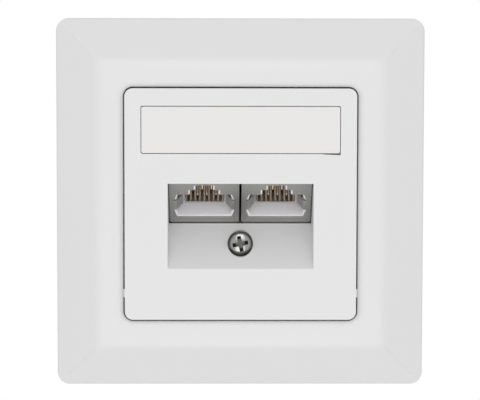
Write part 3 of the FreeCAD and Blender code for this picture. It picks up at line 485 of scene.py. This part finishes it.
def contact_tree():
    """Tree that bends a path into a sprung wire, repeats it in a row and puts the row in its port."""
    tree = bpy.data.node_groups.new("contact_row", "GeometryNodeTree")
    nodes = Nodes(tree)
    face = tree.interface
    face.new_socket("Path", in_out="INPUT", socket_type="NodeSocketGeometry")
    for name in ("Spacing", "Width", "Thickness", "Bend radius", "Edge radius", "Tilt"):
        face.new_socket(name, in_out="INPUT", socket_type="NodeSocketFloat")
    face.new_socket("Count", in_out="INPUT", socket_type="NodeSocketInt")
    face.new_socket("Port", in_out="INPUT", socket_type="NodeSocketVector")
    face.new_socket("Material", in_out="INPUT", socket_type="NodeSocketMaterial")
    face.new_socket("Contacts", in_out="OUTPUT", socket_type="NodeSocketGeometry")
    given = nodes.add("NodeGroupInput").outputs
    path = nodes.add("GeometryNodeMeshToCurve", {"Mesh": given["Path"]}).outputs["Curve"]
    bent = nodes.add("GeometryNodeFilletCurve", {
        "Curve": path, "Count": 8, "Radius": given["Bend radius"], "Limit Radius": True}, mode="POLY")
    strip = nodes.add("GeometryNodeCurvePrimitiveQuadrilateral", {
        "Width": given["Width"], "Height": given["Thickness"]}, mode="RECTANGLE")
    soft = nodes.add("GeometryNodeFilletCurve", {
        "Curve": strip.outputs["Curve"], "Count": 3, "Radius": given["Edge radius"], "Limit Radius": True},
        mode="POLY")
    wire = nodes.add("GeometryNodeCurveToMesh", {
        "Curve": bent.outputs["Curve"], "Profile Curve": soft.outputs["Curve"], "Fill Caps": True})
    step = nodes.add("ShaderNodeCombineXYZ", {"X": given["Spacing"]})
    line = nodes.add("GeometryNodeMeshLine", {"Count": given["Count"], "Offset": step.outputs["Vector"]},
                     mode="OFFSET")
    row = nodes.add("GeometryNodeInstanceOnPoints", {
        "Points": line.outputs["Mesh"], "Instance": wire.outputs["Mesh"]})
    turn = nodes.add("ShaderNodeCombineXYZ", {"X": given["Tilt"]})
    placed = nodes.add("GeometryNodeTransform", {
        "Geometry": row.outputs["Instances"], "Translation": given["Port"],
        "Rotation": turn.outputs["Vector"]})
    real = nodes.add("GeometryNodeRealizeInstances", {"Geometry": placed.outputs["Geometry"]})
    finished = nodes.add("GeometryNodeSetMaterial", {
        "Geometry": real.outputs["Geometry"], "Material": given["Material"]})
    nodes.add("NodeGroupOutput", {"Contacts": finished.outputs["Geometry"]})
    return tree


def plain_mesh(piece, name):
    """Turn what the modifiers of a piece make into its own mesh, and take the modifiers off."""
    graph = bpy.context.evaluated_depsgraph_get()
    mesh = bpy.data.meshes.new_from_object(piece.evaluated_get(graph), depsgraph=graph)
    mesh.name = name
    piece.modifiers.clear()
    piece.data = mesh
    return mesh


class SOCKET_OT_contacts(SocketOperator):
    """Bend the spring contacts of both ports out of sprung wire"""

    bl_idname = "socket.contacts"
    bl_label = "Contacts"

    def make(self, context):
        gold = surface("contact_gold", colours().gold, 0.36, metallic=1.0, mottle=0.05)
        tree = contact_tree()
        for side, middle in PORTS:
            piece = linked(f"{side}_contacts_finish", self.paths())
            piece.data.materials.append(gold)
            row = piece.modifiers.new("row", "NODES")
            row.node_group = tree
            given = {
                "Spacing": len(CONTACT_UPRIGHTS) * CONTACT_SPACING * MM,
                "Width": CONTACT_WIDTH * MM, "Thickness": CONTACT_THICKNESS * MM,
                "Bend radius": sizes().contact_bend, "Edge radius": sizes().contact_edge,
                "Tilt": math.radians(PORT_TILT), "Count": CONTACTS_IN_PORT // len(CONTACT_UPRIGHTS),
                "Port": list(in_port(middle, 0.0, 0.0)), "Material": gold}
            for item in tree.interface.items_tree:
                if item.name in given:
                    row[item.identifier] = given[item.name]
            shade_smooth(plain_mesh(piece, f"{side}_contacts_finish"), 40)
            settle(piece, "contact_gold", f"{side}_jack_contacts")

    def paths(self):
        """Middle lines of the first two contacts, in the port's frame."""
        mesh = bpy.data.meshes.new("contact_paths")
        points = []
        edges = []
        for order, upright in enumerate(CONTACT_UPRIGHTS):
            across = CONTACT_SPACING * (order - (CONTACTS_IN_PORT - 1) / 2)
            run = [(CONTACT_BACK, CONTACT_LOW), (upright, CONTACT_LOW), (upright, CONTACT_KNEE), CONTACT_TIP]
            edges += [(len(points) + place, len(points) + place + 1) for place in range(len(run) - 1)]
            points += [Vector((across, depth, rise)) * MM for depth, rise in run]
        mesh.from_pydata(points, edges, [])
        return mesh


def screw_profile(head, rise, shank):
    """Half section of a raised head and a plain neck, as radius and level, from the crown to the seat."""
    points = []
    for step in range(1, 13):
        turn = math.radians(90 * step / 12)
        points.append((head * CROWN_RADIUS * math.sin(turn), rise * (CROWN_DROP * (1 - math.cos(turn)) - 1)))
    for step in range(1, 6):
        turn = math.radians(90 * step / 5)
        points.append((head * (CROWN_RADIUS + (1 - CROWN_RADIUS) * math.sin(turn)),
                       rise * (CROWN_DROP + BRIM_DROP * (1 - math.cos(turn)) - 1)))
    points += [(head, -0.12), (head - 0.08, -0.02), (shank + 0.05, -0.02), (shank, TURNED_FROM)]
    return points


def screw_mesh(name, places, reach, head, rise, shank, pitch, threaded_from):
    """Screws with raised heads and rolled threads along Y, one at each place, with their seats at y = 0."""
    build = bmesh.new()
    for across, up in places:
        levels = screw_profile(head, rise, shank)
        steps = int((reach - TURNED_FROM) / pitch * THREAD_RINGS)
        rings = [[(radius, level)] * SPOKES for radius, level in levels]
        for step in range(1, steps + 1):
            level = TURNED_FROM + (reach - TURNED_FROM) * step / steps
            ring = []
            for spoke in range(SPOKES):
                phase = (level / pitch - spoke / SPOKES) % 1.0
                ridge = 1.0 - abs(2.0 * phase - 1.0)
                grip = min(1.0, max(0.0, (level - threaded_from) / pitch), max(0.0, (reach - level) / pitch))
                end = min(1.0, (reach - level) / (0.6 * pitch) + 0.75)
                ring.append(((shank - THREAD_DEPTH * pitch * grip * (1.0 - ridge)) * end, level))
            rings.append(ring)
        crown = build.verts.new(Vector((across, -rise, up)) * MM)
        tip = build.verts.new(Vector((across, reach, up)) * MM)
        rows = []
        for ring in rings:
            row = []
            for spoke, (radius, level) in enumerate(ring):
                turn = 2 * math.pi * spoke / SPOKES
                row.append(build.verts.new(Vector((
                    across + radius * math.cos(turn), level, up + radius * math.sin(turn))) * MM))
            rows.append(row)
        for spoke in range(SPOKES):
            after = (spoke + 1) % SPOKES
            build.faces.new((crown, rows[0][spoke], rows[0][after]))
            for upper, lower in zip(rows, rows[1:]):
                build.faces.new((upper[spoke], lower[spoke], lower[after], upper[after]))
            build.faces.new((tip, rows[-1][after], rows[-1][spoke]))
    return closed_mesh(build, name)


def cross_cutter(name, places, material, span, width, rise, depth, turn):
    """Tapered wedges that cut one arm of the cross recess into each head."""
    build = bmesh.new()
    for across, up in places:
        corners = []
        for level, share in ((-rise - CUT_ABOVE, CUT_TOP), (-rise + depth, CUT_FLOOR)):
            for side_across, side_up in ((-1, -1), (1, -1), (1, 1), (-1, 1)):
                along = side_across * span * share
                over = side_up * width * (0.5 + 0.5 * share)
                corners.append(build.verts.new(Vector((
                    across + along * math.cos(turn) - over * math.sin(turn), level,
                    up + along * math.sin(turn) + over * math.cos(turn))) * MM))
        low, high = corners[:4], corners[4:]
        build.faces.new(low)
        build.faces.new(high)
        for place in range(4):
            after = (place + 1) % 4
            build.faces.new((low[place], low[after], high[after], high[place]))
    mesh = closed_mesh(build, name)
    mesh.materials.append(material)
    return linked(name, mesh)


def finished_screws(node, material, recess, places, size, reach, start, tilt, slant):
    """Screws in place of a node's plain ones: seats at a start, length tilted about X, crosses at a slant."""
    head, rise = size["head"], size["rise"]
    mesh = screw_mesh(f"{node}_finish", places, reach=reach, **size)
    mesh.materials.append(material)
    piece = linked(f"{node}_finish", mesh)
    cutters = [cross_cutter(f"{node}_arm_{arm}", places, recess, head * CROSS_REACH, head * CROSS_HALF_WIDTH,
                            rise, rise * CROSS_DEPTH, slant + arm * math.pi / 2) for arm in range(2)]
    for cutter in cutters:
        cut = piece.modifiers.new("recess", "BOOLEAN")
        cut.object = cutter
        cut.operation = "DIFFERENCE"
        cut.solver = "EXACT"
        cut.material_mode = "TRANSFER"
    mesh = plain_mesh(piece, f"{node}_finish")
    for cutter in cutters:
        bpy.data.objects.remove(cutter)
    shade_smooth(mesh, 34)
    mesh.transform(Matrix.Translation(start) @ Matrix.Rotation(tilt, 4, "X"))
    settle(piece, "screw_steel", node)


def paint_rim_reflection(material, axis, inner, outer):
    """Paint a dark reflection round an axis along Y: let a material's colour fall off between two distances
    from it.
    """
    tree = material.node_tree
    nodes = Nodes(tree, keep=True)
    principled = next(node for node in tree.nodes if node.bl_idname == "ShaderNodeBsdfPrincipled")
    place = nodes.add("ShaderNodeTexCoord").outputs["Object"]
    moved = nodes.add("ShaderNodeVectorMath", {0: place, 1: tuple(axis)}, operation="SUBTRACT").outputs[0]
    flat = nodes.add("ShaderNodeVectorMath", {0: moved, 1: (1.0, 0.0, 1.0)}, operation="MULTIPLY").outputs[0]
    away = nodes.add("ShaderNodeVectorMath", {0: flat}, operation="LENGTH").outputs["Value"]
    dark = nodes.add("ShaderNodeMapRange", {
        "Value": away, "From Min": inner, "From Max": outer, "To Min": 1.0, "To Max": 0.25}).outputs["Result"]
    base = principled.inputs["Base Color"].links[0].from_socket
    shaded = nodes.add("ShaderNodeMixRGB", {"Fac": 1.0, "Color1": base, "Color2": dark},
                       blend_type="MULTIPLY")
    tree.links.new(shaded.outputs["Color"], principled.inputs["Base Color"])


class SOCKET_OT_screws(SocketOperator):
    """Make the screws, with raised heads, cross recesses and rolled threads"""

    bl_idname = "socket.screws"
    bl_label = "Screws"

    def make(self, context):
        steel = surface("screw_steel", colours().screw, 0.2, metallic=1.0, mottle=0.03)
        tilt = math.radians(PORT_TILT)
        # Painted shade: the faces of the cross recesses get a darker copy of the steel.
        recess = surface("screw_recess_shade", dimmed(colours().screw, 0.4), 0.3, metallic=1.0)
        # Painted dark reflection round the rim of the centre screw's head.
        painted_rim_steel = surface("screw_painted_rim_reflection", colours().screw, 0.2, metallic=1.0, mottle=0.03)
        paint_rim_reflection(painted_rim_steel, Vector((PLATE_SCREW[0], 0.0, PLATE_SCREW[1])) * MM, PAINTED_RIM_REFLECTION[0] * MM,
                   PAINTED_RIM_REFLECTION[1] * MM)
        finished_screws("plate_screw", painted_rim_steel, recess, [PLATE_SCREW], CENTRE_SCREW_SIZE, PLATE_SCREW_REACH,
                        Vector((0.0, -SCREW_SEAT, 0.0)) * MM, 0.0, math.radians(12))
        for node, (across, up), reach, start, turn, slant in (
                ("ring_screws", RING_SCREW, RING_SCREW_REACH, Vector((0.0, RING_FRONT, 0.0)) * MM, 0.0, 0.3),
                ("lid_screws", LID_SCREW, LID_SCREW_REACH, in_port(0.0, LID_FACE, 0.0), tilt + math.pi, 0.5),
                ("clamp_screws", CLAMP_SCREW, CLAMP_SCREW_REACH, in_port(0.0, 0.0, CLAMP_FACE),
                 tilt - math.pi / 2, 0.2)):
            finished_screws(node, steel, recess, [(-across, up), (across, up)], SMALL_SCREW_SIZE, reach,
                            start, turn, slant)


class SOCKET_OT_housing(SocketOperator):
    """Finish the ring, the housing and what is in it"""

    bl_idname = "socket.housing"
    bl_label = "Ring and housing"

    def make(self, context):
        zinc = surface("zinc_sheet", colours().ring, 0.4, metallic=0.9, mottle=0.12, grain=600.0)
        cast = surface("cast_zinc", colours().casting, 0.55, metallic=0.85, mottle=0.08, bump=0.4)
        board = surface("board", colours().board, 0.35, mottle=0.1)
        block = surface("block_plastic", colours().block, 0.35)
        dressed("support_ring", zinc, sizes().plastic_edge, "zinc_sheet")
        dressed("cable_clamp", zinc, sizes().plastic_edge, "zinc_sheet")
        dressed("housing_body", cast, sizes().cast_edge, "cast_zinc")
        dressed("housing_lid", cast, sizes().cast_edge, "cast_zinc")
        dressed("circuit_board", board, 0.0, "board")
        for side in ("lower", "upper"):
            dressed(f"{side}_terminal_block", block, 0.0, "block_plastic")
            dressed(f"{side}_forked_contacts", zinc, 0.0, "fork_metal")


def look_at(item, aim, azimuth, elevation, distance):
    """Place a camera or light at a turn and a height in degrees, facing what it aims at."""
    turn = math.radians(azimuth)
    height = math.radians(elevation)
    back = Vector((math.sin(turn) * math.cos(height), -math.cos(turn) * math.cos(height), math.sin(height)))
    item.location = aim + back * distance
    item.rotation_mode = "QUATERNION"
    item.rotation_quaternion = (-back).to_track_quat("-Z", "Y")


def background_rays(nodes):
    """One for the rays that should meet the white background: those of the camera and of glossy surfaces."""
    path = nodes.add("ShaderNodeLightPath")
    return nodes.add("ShaderNodeMath", {0: path.outputs["Is Camera Ray"], 1: path.outputs["Is Glossy Ray"]},
                     operation="MAXIMUM").outputs["Value"]


class SOCKET_OT_studio(SocketOperator):
    """Set up the floor, the lights and the camera"""

    bl_idname = "socket.studio"
    bl_label = "Studio"

    def make(self, context):
        ground_colour = [*colours().ground, 1.0]
        floor_material = bpy.data.materials.new("studio_floor")
        floor_material.use_nodes = True
        nodes = Nodes(floor_material.node_tree)
        white = nodes.add("ShaderNodeEmission", {"Color": (1, 1, 1, 1), "Strength": 1.0})
        matte = nodes.add("ShaderNodeBsdfDiffuse", {"Color": ground_colour})
        mix = nodes.add("ShaderNodeMixShader", {
            0: background_rays(nodes), 1: matte.outputs["BSDF"], 2: white.outputs["Emission"]})
        nodes.add("ShaderNodeOutputMaterial", {"Surface": mix.outputs["Shader"]})
        half = sizes().floor_half
        floor_mesh = bpy.data.meshes.new("studio_floor")
        low = CAD_BOX[0].z - sizes().floor_drop
        corners = [(-half, -half, low), (half, -half, low), (half, half, low), (-half, half, low)]
        floor_mesh.from_pydata(corners, [], [(0, 1, 2, 3)])
        floor_mesh.materials.append(floor_material)
        linked("studio_floor", floor_mesh)
        self.world(context)
        self.soft_box("upper_box", sizes().front_light, sizes().box_elevation)
        self.soft_box("lower_box", sizes().low_light, sizes().low_elevation)
        self.camera(context)

    def world(self, context):
        """Even light from all round, and a white background for the camera."""
        world = bpy.data.worlds.new("studio")
        context.scene.world = world
        world.use_nodes = True
        nodes = Nodes(world.node_tree)
        even = nodes.add("ShaderNodeBackground", {"Color": (1, 1, 1, 1), "Strength": sizes().even_light})
        white = nodes.add("ShaderNodeBackground", {"Color": (1, 1, 1, 1), "Strength": 1.0})
        mix = nodes.add("ShaderNodeMixShader", {0: background_rays(nodes), 1: even.outputs["Background"],
                                                2: white.outputs["Background"]})
        nodes.add("ShaderNodeOutputWorld", {"Surface": mix.outputs["Shader"]})
        context.scene.view_settings.view_transform = "Standard"

    def soft_box(self, name, power, elevation):
        """Square soft light in front of the socket, at a height angle in degrees."""
        data = bpy.data.lights.new(name, "AREA")
        data.shape = "SQUARE"
        data.size = sizes().box_size
        data.energy = power
        light = linked(name, data)
        look_at(light, Vector((0.0, CAD_BOX[0].y, 0.0)), 0.0, elevation, sizes().box_distance)

    def camera(self, context):
        """Camera at the photograph's angle, aimed at the middle of the plate."""
        data = bpy.data.cameras.new("camera")
        data.lens = sizes().lens
        data.clip_start = 0.01
        camera = linked("camera", data)
        aim = Vector((sizes().aim_across * MM, CAD_BOX[0].y, sizes().aim_up * MM))
        look_at(camera, aim, sizes().camera_azimuth, sizes().camera_elevation, sizes().camera_distance)
        camera.rotation_quaternion @= Quaternion((0, 0, 1), math.radians(sizes().camera_roll))
        context.scene.camera = camera


class SOCKET_PT_panel(bpy.types.Panel):
    """Lists the steps that dress the socket"""

    bl_idname = "SOCKET_PT_panel"
    bl_label = "Data socket"
    bl_space_type = "VIEW_3D"
    bl_region_type = "UI"
    bl_category = "Socket"

    def draw(self, context):
        for operator in OPERATORS:
            self.layout.operator(operator.bl_idname)


OPERATORS = (SOCKET_OT_plastic, SOCKET_OT_label, SOCKET_OT_ports, SOCKET_OT_contacts, SOCKET_OT_screws,
             SOCKET_OT_housing, SOCKET_OT_studio)
CLASSES = (SocketColours, SocketSizes, *OPERATORS, SOCKET_PT_panel)


def register():
    for item in CLASSES:
        bpy.utils.register_class(item)
    bpy.types.Scene.socket_colours = PointerProperty(type=SocketColours)
    bpy.types.Scene.socket_sizes = PointerProperty(type=SocketSizes)


def unregister():
    del bpy.types.Scene.socket_sizes
    del bpy.types.Scene.socket_colours
    for item in reversed(CLASSES):
        bpy.utils.unregister_class(item)


def main():
    """Dress the socket step by step."""
    register()
    for operator in OPERATORS:
        group, name = operator.bl_idname.split(".")
        getattr(getattr(bpy.ops, group), name)()


if __name__ == "__main__":
    main()
